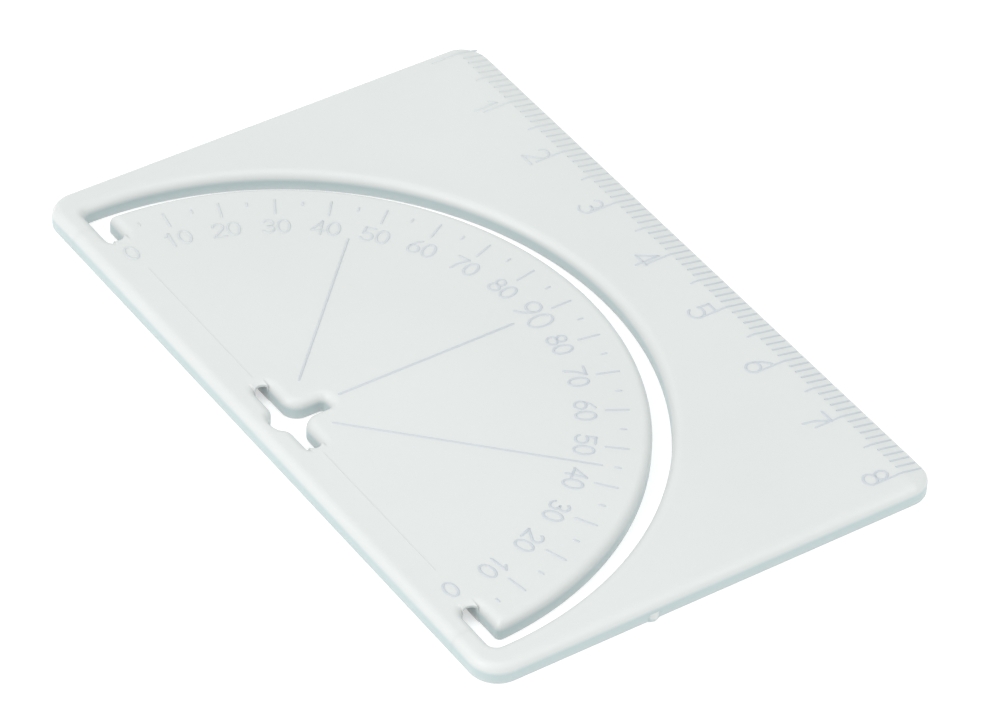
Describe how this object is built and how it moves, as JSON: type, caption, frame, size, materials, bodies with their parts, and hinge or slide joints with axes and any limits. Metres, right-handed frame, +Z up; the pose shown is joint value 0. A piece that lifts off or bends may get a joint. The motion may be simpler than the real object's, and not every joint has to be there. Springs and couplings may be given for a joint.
{
  "type": "pocket ruler and protractor card",
  "caption": "Wallet-size moulded plastic card with a centimetre ruler on one long edge and a half-disc protractor leaf that folds up out of its window on a living hinge.",
  "frame": {"origin": "centre of the card's box, on the underside that the card lies on", "axes": "+X along the ruler towards its higher numbers, +Y across the card towards the ruler edge, +Z up through the marked face"},
  "size_m": [0.0845, 0.054, 0.0023],
  "materials": {
    "milky_plastic": "satin moulded, milky white and slightly translucent"
  },
  "bodies": {
    "card": {"card_frame": "milky_plastic", "hinge_web_left": "milky_plastic", "hinge_web_right": "milky_plastic"},
    "leaf": {"protractor_leaf": "milky_plastic"}
  },
  "joints": [
    {"name": "leaf_fold", "type": "hinge", "parent": "card", "child": "leaf", "pos_m": [0.00015, -0.02312, 0.00195], "axis": [1, 0, 0], "range_deg": [0, 90], "stiffness_Nm_per_rad": 0.002}
  ]
}
